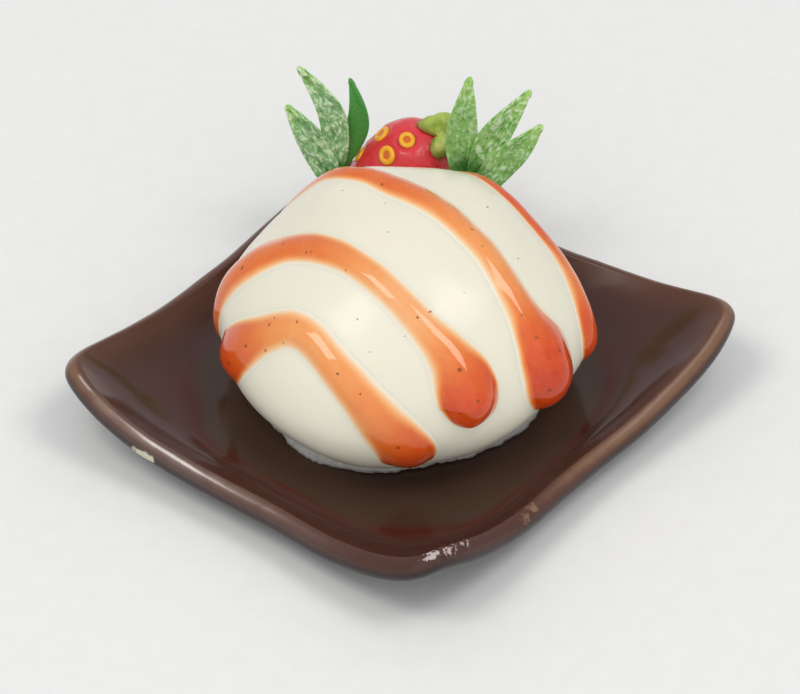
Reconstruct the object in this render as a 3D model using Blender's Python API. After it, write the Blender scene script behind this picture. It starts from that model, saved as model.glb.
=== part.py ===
# Dolls'-house panna cotta: a cream dome with orange sauce, a strawberry and leaves on a square glazed plate
import math

import bmesh
import bpy
from mathutils import Matrix, Vector

MM = 0.001
GAP = 0.1 * MM             # clearance between neighbouring pieces

# Plate: a hand-pressed square slab, one corner towards the viewer, its corners raised more than its sides.
# Its sides, in turn, face back right, back left, front left and front right; its corners lie between them.
# reach at each side's two ends, in mm
PLATE_SIDES = ((13.2, 11.9), (11.9, 12.9), (12.5, 12.6), (11.5, 12.8))
PLATE_CORNERS = (2.9, 4.7, 4.8, 4.7)     # height of the rim at the back, left, front and right corner, mm
PLATE_SIDE_BOW = 0.45 * MM       # how far the middle of a side is drawn in
PLATE_THICKNESS = 1.5 * MM
SIDE_RIM_HEIGHT = 2.7 * MM
RIM_SQUARENESS = 10.0            # exponent of the rounded square: larger is sharper
CORNER_ROUNDING = math.radians(5)
WELL_HALF_SIDE = 10.2 * MM
WELL_SQUARENESS = 3.4
FOOT_HALF_SIDE = 9.0 * MM
FOOT_SQUARENESS = 4.0
LIP_OVERHANG = 0.75 * MM
TOP_SHARES = (0.0, 0.3, 0.55, 0.78, 0.93)      # rings from the edge of the well towards the crest
LIP_TURNS = (0, 35, 75, 115, 150)             # degrees round the lip, from its crest
UNDER_SHARES = (0.95, 0.7, 0.4, 0.0)          # rings from below the rim to the edge of the foot
PLATE_RAYS_PER_SIDE = 22

# Dome: measured from its inner centre, which lies at the height of its widest ring
DOME_CENTRE = Vector((0.05, 0.65, 5.05)) * MM
DOME_RADIUS = 9.35 * MM
DOME_CROWN = 7.0 * MM            # inner centre to the top
DOME_UNDERCUT = 5.0 * MM         # height of the ellipse that the underside follows
DOME_SQUARENESS = 1.8
DOME_LEAN = Vector((0.45, 0.45, 0.0)) * MM     # how far the top is shifted from the base
DOME_SEGMENTS = 52
DOME_LOWER_RINGS = 7
DOME_UPPER_RINGS = 13
# Hand-moulded, so a little uneven: azimuth and elevation in degrees, and how far it stands out there, mm
DOME_SWELLS = ((167, 20, 0.25), (145, 34, -0.4), (118, 44, 0.65), (45, 38, 0.4), (22, 22, -0.25),
               (-14, -4, 0.6), (245, -22, 0.25), (325, -14, -0.15))
DOME_SWELL_TIGHTNESS = 16
FLOOR = PLATE_THICKNESS
DOME_BASE = FLOOR + GAP

# Spread edge of cream round the foot of the dome
SKIRT_RADIUS = 7.45 * MM
SKIRT_WIDENING = 0.25 * MM       # how much wider it is to the left and right than in front
SKIRT_UNEVENNESS = 0.16 * MM
# azimuths in degrees where it spreads farther, and how much farther in mm
SKIRT_TONGUES = ((-35, 0.25), (-122, 0.3), (-88, -0.25))
SKIRT_HEIGHT = 0.75 * MM
SKIRT_INNER = 5.0 * MM           # where it ends inside the dome
SKIRT_SEGMENTS = 48

# Sauce ribbons: azimuth and elevation in degrees from the inner centre, half width and height in mm
SAUCE_RIGHT = ((70, 17, 0.6, 0.15), (58, 26, 0.65, 0.2), (44, 32, 0.7, 0.25), (29, 26, 0.75, 0.3),
               (15, 19.5, 0.8, 0.32), (3, 15.5, 0.85, 0.35), (-6, 12, 0.9, 0.4), (-12, 7, 0.95, 0.45),
               (-15, 1, 1.0, 0.5), (-17, -6, 0.95, 0.4))
SAUCE_TALL = ((128, -8, 1.0, 0.3), (124, 8, 0.8, 0.28), (119, 28, 0.75, 0.25), (114, 47, 0.85, 0.28),
              (106, 56, 1.0, 0.3), (92, 66, 1.2, 0.32), (62, 73, 1.2, 0.32), (14, 72, 1.1, 0.3),
              (-14, 63, 1.05, 0.3), (-24, 54, 1.05, 0.3), (-33, 43, 1.05, 0.32), (-37.5, 33, 1.1, 0.4),
              (-39.5, 24, 1.35, 0.6), (-40, 15.5, 1.65, 0.95), (-41, 6, 1.75, 1.1), (-42, -6, 1.6, 0.75))
SAUCE_MIDDLE = ((172, -8, 0.7, 0.3), (170, 2, 0.85, 0.35), (168, 13, 1.2, 0.38), (168.5, 24, 1.3, 0.36),
                (171.5, 36.5, 1.2, 0.34), (176, 45, 1.1, 0.32), (186.5, 53, 1.05, 0.3),
                (202.5, 58.5, 1.0, 0.3), (223.5, 60, 0.95, 0.28), (244, 57, 0.95, 0.28),
                (259.5, 50.5, 0.95, 0.28), (273, 39.5, 1.0, 0.3), (280.5, 30.5, 1.2, 0.45),
                (285, 20.5, 1.6, 0.8), (286, 12, 1.65, 1.05), (284.5, 4, 1.55, 0.8))
SAUCE_LEFT = ((186.5, -5, 1.3, 0.4), (192, 3, 1.4, 0.5), (195.5, 9, 1.3, 0.45),
              (200.5, 16, 1.15, 0.38), (205.5, 22, 1.05, 0.34), (211.5, 26.8, 1, 0.32),
              (219, 28.5, 0.95, 0.32), (227.5, 27, 0.95, 0.32), (235.5, 23.5, 0.95, 0.32),
              (242.5, 19.7, 1, 0.32), (249, 15, 1.05, 0.34), (256, 8.5, 1.2, 0.38),
              (261.5, 2.5, 1.3, 0.4), (265.5, -4, 1.4, 0.45), (268, -12, 1.4, 0.4))
RIBBON_ROUNDNESS = 1.5           # 1 gives a half-ellipse section, 2 a flatter parabola
RIBBON_BED = 0.4 * MM            # how deep its underside lies in the cream
RIBBON_STEPS = 3                 # sections between two stations
RIBBON_SIDES = 10

# Strawberry behind the dome, its tip down to the left
BERRY_CENTRE = Vector((1.55, 12.75, 4.5)) * MM
BERRY_RADIUS = 2.45 * MM
BERRY_LENGTH = 7.0 * MM
BERRY_TILT = math.radians(-49)   # turn of the calyx end from straight up towards +X
BERRY_SHOULDER = 0.36            # share of the length from the calyx end to the widest ring
BERRY_SEGMENTS = 24
BERRY_RINGS = (0.015, 0.05, 0.11, 0.2, 0.31, 0.43, 0.55, 0.66, 0.76, 0.85, 0.92, 0.97)   # shares of length
# share of the berry's length, number of seeds in the row, turn of the first in degrees
SEED_ROWS = ((0.16, 1, 198), (0.2, 1, 64), (0.2, 1, 268), (0.35, 9, 4), (0.61, 6, 40), (0.85, 3, 20))
SEED_RADIUS = 0.41 * MM
SEED_WIRE = 0.15 * MM
SEED_SIDES = 8

# Calyx: five puffy, rounded sepals on the berry's shoulder
CALYX_INNER = 0.95 * MM
CALYX_LOBE = 0.8 * MM
CALYX_TURN = math.radians(27)    # where the first sepal points
CALYX_THICKNESS = 0.9 * MM
CALYX_HOLLOW = 0.3               # thickness between two sepals as a share of theirs
# share of the calyx's reach, share of its thickness
CALYX_RISE = ((0.3, 0.75), (0.55, 1.0), (0.78, 1.0), (0.93, 0.8), (1.0, 0.45))
CALYX_SEGMENTS = 40

# Leaf sprigs: three leaves on one stem, standing on the plate behind the dome
LEAF_THICKNESS = 0.3 * MM
LEAF_WAVE = 0.12 * MM
LEAF_FOLD = 0.16                 # how far the halves rise from the midrib, as a share of the half width
LEAF_TIP = 0.3                  # width of the blunt tip as a share of the greatest
LEAF_LENGTH_STEPS = 10
LEAF_WIDTH_STEPS = 4
STEM_RADIUS = 0.5 * MM
STEM_SWELL = ((0.0, 1.25), (0.3, 1.0), (0.75, 0.95), (1.0, 0.55))    # shares of its length and radius
STEM_SIDES = 10
LEFT_STEM = (Vector((-2.3, 11.4, 1.75)), Vector((-1.95, 12.85, 5.2)))
LEFT_LEAVES = (
    (Vector((-1.95, 12.85, 4.7)), Vector((-4.2, 13.85, 9.1)), 0.8, 0.15),
    (Vector((-1.75, 13.05, 4.9)), Vector((-3.5, 14.25, 11.4)), 0.76, 0.85),
    (Vector((-1.8, 13.3, 4.8)), Vector((-0.65, 14.8, 9.8)), 0.66, 0.85),
)
RIGHT_STEM = (Vector((5.3, 9.3, 1.75)), Vector((5.4, 10.1, 6.3)))
RIGHT_LEAVES = (
    (Vector((5.0, 10.35, 5.8)), Vector((5.3, 11.4, 12.2)), 0.88, -0.35),
    (Vector((5.5, 10.15, 5.7)), Vector((8.45, 10.7, 11.5)), 0.86, -0.5),
    (Vector((5.7, 10.0, 5.6)), Vector((9.0, 10.1, 9.5)), 0.86, -0.1),
)


def clear_scene():
    for obj in list(bpy.data.objects):
        bpy.data.objects.remove(obj, do_unlink=True)


def make_material(name, color, roughness):
    mat = bpy.data.materials.new(name)
    mat.use_nodes = True
    shader = mat.node_tree.nodes["Principled BSDF"]
    shader.inputs["Base Color"].default_value = (*color, 1.0)
    shader.inputs["Roughness"].default_value = roughness
    shader.inputs["Metallic"].default_value = 0.0
    return mat


def add_object(name, bm, mat=None):
    bmesh.ops.recalc_face_normals(bm, faces=bm.faces)
    mesh = bpy.data.meshes.new(name)
    bm.to_mesh(mesh)
    bm.free()
    mesh.shade_smooth()
    mesh.set_sharp_from_angle(angle=math.radians(50))
    if mat:
        mesh.materials.append(mat)
    obj = bpy.data.objects.new(name, mesh)
    bpy.context.scene.collection.objects.link(obj)
    return obj


def loft(bm, rings, closed=False):
    """Join equal rings of points with quads; open lofts are capped by a pole or a flat face."""
    loops = [[bm.verts.new(point) for point in ring] for ring in rings]
    pairs = list(zip(loops, loops[1:]))
    if closed:
        pairs.append((loops[-1], loops[0]))
    for low, high in pairs:
        bridge(bm, low, high)
    if not closed:
        cap(bm, loops[0])
        cap(bm, loops[-1])


def bridge(bm, low, high):
    count = max(len(low), len(high))
    for i in range(count):
        after = i + 1
        corners = (low[i % len(low)], low[after % len(low)], high[after % len(high)], high[i % len(high)])
        bm.faces.new(list(dict.fromkeys(corners)))


def cap(bm, ring):
    if len(ring) > 2:
        bm.faces.new(ring)


def fuse(base, extras):
    """Join the extras to the base as one body."""
    group = bpy.data.collections.new(base.name + "_extras")
    bpy.context.scene.collection.children.link(group)
    for obj in extras:
        bpy.context.scene.collection.objects.unlink(obj)
        group.objects.link(obj)
    union = base.modifiers.new("fuse", "BOOLEAN")
    union.operation = "UNION"
    union.operand_type = "COLLECTION"
    union.collection = group
    union.solver = "EXACT"
    bpy.context.view_layer.update()
    fused = bpy.data.meshes.new_from_object(base.evaluated_get(bpy.context.evaluated_depsgraph_get()))
    base.modifiers.clear()
    base.data = fused
    for obj in extras:
        bpy.data.objects.remove(obj, do_unlink=True)
    bpy.data.collections.remove(group)
    return base


def rounded_square(angle, half_side, squareness):
    """Distance from the middle to a rounded square, along a ray at this angle from a side's middle."""
    reach = abs(math.cos(angle)) ** squareness + abs(math.sin(angle)) ** squareness
    return half_side / reach ** (1.0 / squareness)


def plate_rays():
    """Angles round the plate, closer together at the corners."""
    rays = []
    for side in range(4):
        for step in range(PLATE_RAYS_PER_SIDE):
            share = 2.0 * step / PLATE_RAYS_PER_SIDE - 1.0
            rays.append(math.radians(90.0 * side + 45.0 + 45.0 * math.copysign(abs(share) ** 1.5, share)))
    return rays


def rim_reach(angle):
    """Distance from the middle to the crest of the rim, along a ray at this angle from the first side."""
    closeness = 0.0
    for side, (start, end) in enumerate(PLATE_SIDES):
        facing = math.cos(angle - side * math.pi / 2)
        if facing > 0.1:
            along = 0.5 + 0.5 * math.tan(angle - side * math.pi / 2)
            reach = start + (end - start) * min(1.0, max(0.0, along))
            closeness += (facing / (reach * MM)) ** RIM_SQUARENESS
    return closeness ** (-1.0 / RIM_SQUARENESS) - PLATE_SIDE_BOW * math.cos(2.0 * angle) ** 2


def rim_height(angle):
    corner = int(angle % (2.0 * math.pi) // (math.pi / 2))
    off = math.hypot(angle % (math.pi / 2) - math.pi / 4, CORNER_ROUNDING)
    nearness = math.tan(max(0.0, math.pi / 4 - off)) / math.tan(math.pi / 4 - CORNER_ROUNDING)
    return SIDE_RIM_HEIGHT + (PLATE_CORNERS[corner] * MM - SIDE_RIM_HEIGHT) * nearness ** 3


def plate_top(angle, share):
    """A point on the dished top: share 0 is the edge of the flat well, 1 the crest of the rim."""
    well = rounded_square(angle, WELL_HALF_SIDE, WELL_SQUARENESS)
    reach = well + (rim_reach(angle) - well) * share
    return reach, FLOOR + (rim_height(angle) - FLOOR) * share ** 1.5


def plate_under(angle, share):
    """A point on the underside: share 0 is the edge of the flat foot, 1 lies under the crest."""
    foot = rounded_square(angle, FOOT_HALF_SIDE, FOOT_SQUARENESS)
    reach = foot + (rim_reach(angle) + 0.3 * LIP_OVERHANG - foot) * share
    return reach, (rim_height(angle) - PLATE_THICKNESS - 0.1 * MM) * share ** 1.5


def plate_lip(angle, turn):
    """A point on the rounded lip: turn 0 is the crest, 180 degrees its underside."""
    drop = 0.5 * PLATE_THICKNESS * (1.0 - math.cos(math.radians(turn)))
    return rim_reach(angle) + LIP_OVERHANG * math.sin(math.radians(turn)), rim_height(angle) - drop


def plate_ring(section, share):
    ring = []
    for angle in plate_rays():
        reach, height = section(angle, share)
        heading = angle + math.radians(45)
        ring.append(Vector((reach * math.cos(heading), reach * math.sin(heading), height)))
    return ring


def build_plate(mat):
    bm = bmesh.new()
    rings = [plate_ring(plate_top, share) for share in TOP_SHARES]
    rings += [plate_ring(plate_lip, turn) for turn in LIP_TURNS]
    rings += [plate_ring(plate_under, share) for share in UNDER_SHARES]
    loft(bm, rings)
    return add_object("plate", bm, mat)


def direction(azimuth, elevation):
    level = math.cos(elevation)
    return Vector((level * math.cos(azimuth), level * math.sin(azimuth), math.sin(elevation)))


def dome_point(heading, lift=0.0):
    """The point of the dome's surface in this direction from its inner centre, raised by lift."""
    level = math.hypot(heading.x, heading.y) / DOME_RADIUS
    if heading.z >= 0.0:
        closeness = level ** DOME_SQUARENESS + (heading.z / DOME_CROWN) ** DOME_SQUARENESS
        reach = closeness ** (-1.0 / DOME_SQUARENESS)
    else:
        reach = 1.0 / math.hypot(level, heading.z / DOME_UNDERCUT)
    for azimuth, elevation, height in DOME_SWELLS:
        nearness = max(0.0, heading.dot(direction(math.radians(azimuth), math.radians(elevation))))
        reach += height * MM * nearness ** DOME_SWELL_TIGHTNESS
    point = DOME_CENTRE + heading * (reach + lift)
    return point + DOME_LEAN * ((point.z - DOME_BASE) / (DOME_CENTRE.z + DOME_CROWN - DOME_BASE))


def base_elevation():
    """The elevation at which the dome's underside meets the level of its base."""
    sink = DOME_CENTRE.z - DOME_BASE
    level = DOME_RADIUS * math.sqrt(1.0 - (sink / DOME_UNDERCUT) ** 2)
    return math.atan2(-sink, level)


def build_dome(mat):
    bm = bmesh.new()
    lowest = base_elevation()
    elevations = [lowest * (1.0 - i / DOME_LOWER_RINGS) for i in range(DOME_LOWER_RINGS)]
    elevations += [0.5 * math.pi * i / DOME_UPPER_RINGS for i in range(DOME_UPPER_RINGS)]
    azimuths = [2.0 * math.pi * i / DOME_SEGMENTS for i in range(DOME_SEGMENTS)]
    rings = [[dome_point(direction(a, e)) for a in azimuths] for e in elevations]
    rings.append([dome_point(Vector((0.0, 0.0, 1.0)))])
    for point in rings[0]:
        point.z = DOME_BASE
    loft(bm, rings)
    return add_object("panna_cotta", bm, mat)


def skirt_edge(azimuth):
    tongue = sum(reach * max(0.0, math.cos(azimuth - math.radians(where))) ** 12
                 for where, reach in SKIRT_TONGUES)
    waves = 0.6 * math.sin(3 * azimuth + 0.8) + 0.3 * math.sin(7 * azimuth)
    waves += 0.3 * math.sin(11 * azimuth + 2.0)
    return SKIRT_UNEVENNESS * waves + MM * tongue


def build_skirt():
    """A low uneven ring of spread cream."""
    base = DOME_BASE - 0.03 * MM
    middle = Vector((DOME_CENTRE.x, DOME_CENTRE.y - 0.3 * MM, base))
    bm = bmesh.new()
    sections = []
    for i in range(SKIRT_SEGMENTS):
        azimuth = 2.0 * math.pi * i / SKIRT_SEGMENTS
        edge = SKIRT_RADIUS + SKIRT_WIDENING * math.cos(2 * azimuth) + skirt_edge(azimuth)
        top = SKIRT_HEIGHT + skirt_edge(azimuth + 1.3) * 0.4
        outward = direction(azimuth, 0.0)
        profile = ((SKIRT_INNER, 0.0), (edge, 0.0),
                   (edge + 0.1 * MM, 0.25 * top), (edge - 0.3 * MM, 0.75 * top),
                   (edge - 0.9 * MM, top), (SKIRT_INNER, top))
        sections.append([middle + outward * reach + Vector((0, 0, height)) for reach, height in profile])
    loft(bm, sections, closed=True)
    return add_object("skirt", bm)


def smooth_route(stations):
    """Directions, half widths and heights along a ribbon, from a smooth curve through its stations."""
    knots = []
    for azimuth, elevation, half_width, height in stations:
        towards = direction(math.radians(azimuth), math.radians(elevation))
        knots.append((towards, half_width * MM, height * MM))
    knots = [knots[0]] + knots + [knots[-1]]
    route = []
    for before, start, end, after in zip(knots, knots[1:], knots[2:], knots[3:]):
        for step in range(RIBBON_STEPS):
            t = step / RIBBON_STEPS
            towards, half_width, height = (spline(*values, t) for values in zip(before, start, end, after))
            route.append((towards.normalized(), half_width, height))
    route.append(knots[-1])
    return route


def spline(before, start, end, after, t):
    return 0.5 * (2.0 * start + (end - before) * t
                  + (2.0 * before - 5.0 * start + 4.0 * end - after) * t ** 2
                  + (3.0 * start - before - 3.0 * end + after) * t ** 3)


def rounded_end(distance, half_width):
    """Share of the full width at a distance from a ribbon's end, for a round end."""
    if distance >= half_width:
        return 1.0
    return max(0.12, math.sqrt(1.0 - (1.0 - distance / half_width) ** 2))


def ribbon_section(heading, forward, half_width, height):
    across = forward.cross(heading).normalized()
    section = []
    for i in range(RIBBON_SIDES):
        turn = 2.0 * math.pi * i / RIBBON_SIDES
        aside = (heading * DOME_RADIUS + across * half_width * math.cos(turn)).normalized()
        lift = RIBBON_BED * math.sin(turn)
        if i < RIBBON_SIDES / 2:
            lift = height * math.sin(turn) ** RIBBON_ROUNDNESS
        section.append(dome_point(aside, lift))
    return section


def build_ribbon(name, stations):
    route = smooth_route(stations)
    places = [dome_point(heading) for heading, _, _ in route]
    run = [0.0]
    for here, there in zip(places, places[1:]):
        run.append(run[-1] + (there - here).length)
    sections = []
    for i, (heading, half_width, height) in enumerate(route):
        forward = places[min(i + 1, len(places) - 1)] - places[max(i - 1, 0)]
        near_end = rounded_end(min(run[i], run[-1] - run[i]), half_width)
        sections.append(ribbon_section(heading, forward, half_width * near_end, height * near_end))
    bm = bmesh.new()
    loft(bm, sections)
    bmesh.ops.triangulate(bm, faces=bm.faces)
    return add_object(name, bm)


def build_panna_cotta(mat):
    dome = build_dome(mat)
    ribbons = {"sauce_right": SAUCE_RIGHT, "sauce_tall": SAUCE_TALL,
               "sauce_middle": SAUCE_MIDDLE, "sauce_left": SAUCE_LEFT}
    extras = [build_skirt()] + [build_ribbon(name, stations) for name, stations in ribbons.items()]
    return fuse(dome, extras)


def berry_reach(share):
    """Radius of the berry at a share of its length, 0 at the calyx end and 1 at the tip."""
    if share < BERRY_SHOULDER:
        return BERRY_RADIUS * math.sqrt(max(0.0, 1.0 - ((BERRY_SHOULDER - share) / BERRY_SHOULDER) ** 2.3))
    return BERRY_RADIUS * max(0.0, 1.0 - ((share - BERRY_SHOULDER) / (1.0 - BERRY_SHOULDER)) ** 2) ** 0.62


def berry_point(share, azimuth, lift=0.0):
    """A point on the berry with its calyx end up and its middle at the origin."""
    reach = berry_reach(share) + lift
    return Vector((reach * math.cos(azimuth), reach * math.sin(azimuth), BERRY_LENGTH * (0.5 - share)))


def berry_place():
    return Matrix.Translation(BERRY_CENTRE) @ Matrix.Rotation(-BERRY_TILT, 4, "Y")


def berry_normal(share, azimuth):
    slope = (berry_reach(share + 0.01) - berry_reach(share - 0.01)) / (0.02 * BERRY_LENGTH)
    return Vector((math.cos(azimuth), math.sin(azimuth), slope)).normalized()


def build_seed(share, azimuth):
    """A small ring pressed into the berry's skin."""
    bm = bmesh.new()
    facing = berry_normal(share, azimuth)
    upright = facing.to_track_quat("Z", "Y").to_matrix().to_4x4()
    place = Matrix.Translation(berry_point(share, azimuth) - facing * 0.5 * SEED_WIRE) @ upright
    sections = []
    for i in range(SEED_SIDES):
        around = 2.0 * math.pi * i / SEED_SIDES
        spoke = Vector((math.cos(around), math.sin(around), 0.0))
        section = []
        for turn in (0.0, 0.5 * math.pi, math.pi, 1.5 * math.pi):
            point = spoke * (SEED_RADIUS + SEED_WIRE * math.cos(turn))
            point.z = SEED_WIRE * math.sin(turn)
            section.append(place @ point)
        sections.append(section)
    loft(bm, sections, closed=True)
    return add_object("seed", bm)


def build_strawberry(mat):
    bm = bmesh.new()
    azimuths = [2.0 * math.pi * i / BERRY_SEGMENTS for i in range(BERRY_SEGMENTS)]
    rings = [[berry_point(0.0, 0.0)]]
    for share in BERRY_RINGS:
        rings.append([berry_point(share, azimuth) for azimuth in azimuths])
    rings.append([berry_point(1.0, 0.0)])
    loft(bm, rings)
    berry = add_object("strawberry", bm, mat)
    seeds = []
    for share, count, turn in SEED_ROWS:
        for i in range(count):
            seeds.append(build_seed(share, math.radians(turn + 360.0 * i / count)))
    fuse(berry, seeds)
    berry.data.transform(berry_place())
    return berry


def on_sepal(azimuth):
    """1 along the middle of a sepal, 0 halfway between two."""
    return 0.5 + 0.5 * math.cos(5 * (azimuth - CALYX_TURN))


def calyx_rise(azimuth, rise):
    return GAP + rise * CALYX_THICKNESS * (CALYX_HOLLOW + (1.0 - CALYX_HOLLOW) * on_sepal(azimuth))


def calyx_point(azimuth, share, lift):
    """A point on a sepal, which lies a lift above the berry's shoulder; share 1 is its outer edge."""
    reach = (CALYX_INNER + CALYX_LOBE * on_sepal(azimuth) ** 0.45) * share
    depth = BERRY_SHOULDER * (1.0 - math.sqrt(max(0.0, 1.0 - (reach / BERRY_RADIUS) ** 2)))
    sag = BERRY_LENGTH * (0.5 - 0.8 * depth)
    return Vector((reach * math.cos(azimuth), reach * math.sin(azimuth), sag + lift))


def build_calyx(mat):
    bm = bmesh.new()
    azimuths = [2.0 * math.pi * i / CALYX_SEGMENTS for i in range(CALYX_SEGMENTS)]
    under = [[calyx_point(0.0, 0.0, GAP)]]
    over = [[calyx_point(0.0, 0.0, GAP + 0.7 * CALYX_THICKNESS)]]
    for share, rise in CALYX_RISE:
        under.append([calyx_point(azimuth, share, GAP) for azimuth in azimuths])
        over.append([calyx_point(azimuth, share, calyx_rise(azimuth, rise)) for azimuth in azimuths])
    loft(bm, under + over[::-1])
    calyx = add_object("calyx", bm, mat)
    calyx.data.transform(berry_place())
    return calyx


def leaf_outline(share):
    """Half width of a leaf at a share of its length, as a share of the greatest."""
    swell = math.sin(math.pi * (0.18 + 0.82 * share) ** 0.9)
    return max(LEAF_TIP, max(0.0, swell) ** 0.7)


def build_leaf(name, base, tip, half_width, bend):
    """A thin wavy leaf whose broad side faces the viewer."""
    base, tip = base * MM, tip * MM
    half_width, bend = half_width * MM, bend * MM
    along = (tip - base).normalized()
    facing = (Vector((0, -1, 0.35)) - along * along.dot(Vector((0, -1, 0.35)))).normalized()
    across = along.cross(facing)
    bm = bmesh.new()
    faces = {1: [], -1: []}
    for i in range(LEAF_LENGTH_STEPS + 1):
        share = i / LEAF_LENGTH_STEPS
        middle = base.lerp(tip, share) + across * bend * math.sin(math.pi * share)
        reach = half_width * leaf_outline(share)
        for face in faces:
            row = []
            for j in range(LEAF_WIDTH_STEPS + 1):
                aside = 2.0 * j / LEAF_WIDTH_STEPS - 1.0
                ripple = LEAF_WAVE * aside * math.sin(9.0 * share + 2.0 * aside)
                rise = LEAF_FOLD * abs(aside) * reach + ripple + face * 0.5 * LEAF_THICKNESS
                row.append(bm.verts.new(middle + across * reach * aside + facing * rise))
            faces[face].append(row)
    close_leaf(bm, faces)
    return add_object(name, bm)


def close_leaf(bm, faces):
    """Fill both faces of a leaf with the same triangles and close its edge."""
    for rows in faces.values():
        for low, high in zip(rows, rows[1:]):
            for j in range(LEAF_WIDTH_STEPS):
                bm.faces.new((low[j], low[j + 1], high[j + 1]))
                bm.faces.new((low[j], high[j + 1], high[j]))
    edges = []
    for rows in faces.values():
        right = [row[-1] for row in rows]
        left = [row[0] for row in rows[::-1]]
        edges.append(rows[0] + right[1:] + rows[-1][-2::-1] + left[1:-1])
    front, back = edges
    for k in range(len(front)):
        after = (k + 1) % len(front)
        bm.faces.new((front[k], front[after], back[after], back[k]))


def build_stem(name, foot, head, mat):
    foot, head = foot * MM, head * MM
    bm = bmesh.new()
    sections = []
    for share, swell in STEM_SWELL:
        centre = foot.lerp(head, share)
        sections.append([centre + direction(2.0 * math.pi * i / STEM_SIDES, 0.0) * STEM_RADIUS * swell
                         for i in range(STEM_SIDES)])
    loft(bm, sections)
    return add_object(name, bm, mat)


def build_sprig(name, stem, leaves, mat):
    body = build_stem(name, stem[0], stem[1], mat)
    extras = [build_leaf(name + "_leaf", *leaf) for leaf in leaves]
    return fuse(body, extras)


def main():
    clear_scene()
    build_plate(make_material("brown_glaze", (0.09, 0.018, 0.008), 0.12))
    build_panna_cotta(make_material("cream", (0.778, 0.747, 0.616), 0.3))
    build_strawberry(make_material("strawberry_red", (0.62, 0.035, 0.04), 0.3))
    build_calyx(make_material("calyx_green", (0.25, 0.305, 0.055), 0.45))
    leaf_green = make_material("leaf_green", (0.2, 0.4, 0.11), 0.5)
    build_sprig("leaves_left", LEFT_STEM, LEFT_LEAVES, leaf_green)
    build_sprig("leaves_right", RIGHT_STEM, RIGHT_LEAVES, leaf_green)


main()
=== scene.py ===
import math
import random

import bpy
import numpy as np
from mathutils import Matrix, Vector, noise


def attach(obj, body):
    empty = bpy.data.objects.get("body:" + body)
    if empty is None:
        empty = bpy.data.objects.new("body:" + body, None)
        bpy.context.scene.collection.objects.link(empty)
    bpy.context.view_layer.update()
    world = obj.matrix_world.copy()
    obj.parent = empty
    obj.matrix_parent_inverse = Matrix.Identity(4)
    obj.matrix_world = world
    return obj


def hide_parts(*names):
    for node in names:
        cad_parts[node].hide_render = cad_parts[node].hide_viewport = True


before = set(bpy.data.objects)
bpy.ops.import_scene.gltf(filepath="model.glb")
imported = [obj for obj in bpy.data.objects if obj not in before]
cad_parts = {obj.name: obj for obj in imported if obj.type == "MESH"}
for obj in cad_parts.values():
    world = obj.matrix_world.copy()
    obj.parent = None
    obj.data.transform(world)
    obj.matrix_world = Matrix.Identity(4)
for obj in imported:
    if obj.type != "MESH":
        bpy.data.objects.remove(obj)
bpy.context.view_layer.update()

mm = 0.001


# helpers for shapes


def deselectAll():
    if bpy.context.object and bpy.context.object.mode != "OBJECT":
        bpy.ops.object.mode_set(mode="OBJECT")
    bpy.ops.object.select_all(action="DESELECT")


def justAdded(name):
    piece = bpy.context.object
    piece.name = name
    piece.data.name = name
    return piece


def pick(piece):
    deselectAll()
    piece.select_set(True)
    bpy.context.view_layer.objects.active = piece


def moveVertices(piece, rule):
    for vertex in piece.data.vertices:
        vertex.co = rule(vertex.co.copy())
    piece.data.update()


def storeValues(piece, name, values):
    # one number for each vertex, for the material to read
    layer = piece.data.attributes.new(name, "FLOAT", "POINT")
    layer.data.foreach_set("value", list(values))


def storeValue(piece, name, rule):
    storeValues(piece, name, [rule(vertex) for vertex in piece.data.vertices])


def faceOutwards(piece):
    pick(piece)
    bpy.ops.object.mode_set(mode="EDIT")
    bpy.ops.mesh.select_all(action="SELECT")
    bpy.ops.mesh.remove_doubles(threshold=0.000001)
    bpy.ops.mesh.normals_make_consistent(inside=False)
    bpy.ops.object.mode_set(mode="OBJECT")


def subdivide(piece, levels):
    pick(piece)
    smoother = piece.modifiers.new("smoother", "SUBSURF")
    smoother.levels = levels
    smoother.render_levels = levels
    bpy.ops.object.modifier_apply(modifier=smoother.name)


def joinPieces(pieces, name):
    deselectAll()
    for piece in pieces:
        piece.select_set(True)
    bpy.context.view_layer.objects.active = pieces[0]
    bpy.ops.object.join()
    return justAdded(name)


def finishPiece(piece, material, node, sharpAbove=180.0):
    # smooth all over, apart from edges sharper than that many degrees
    pick(piece)
    bpy.ops.object.transform_apply(location=True, rotation=True, scale=True)
    bpy.ops.object.shade_smooth_by_angle(angle=math.radians(sharpAbove))
    piece.data.materials.clear()
    piece.data.materials.append(material)
    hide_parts(node)
    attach(piece, "root")
    print("made", piece.name, len(piece.data.polygons), "faces")


def heading(azimuth, elevation):
    # a direction of length 1, from angles in radians
    level = math.cos(elevation)
    return Vector((level * math.cos(azimuth), level * math.sin(azimuth), math.sin(elevation)))


def aim(azimuth, elevation):
    # the same in degrees
    return heading(math.radians(azimuth), math.radians(elevation))


def smoothStep(low, high, value):
    share = min(1.0, max(0.0, (value - low) / (high - low)))
    return share * share * (3.0 - 2.0 * share)


# helpers for materials


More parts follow.
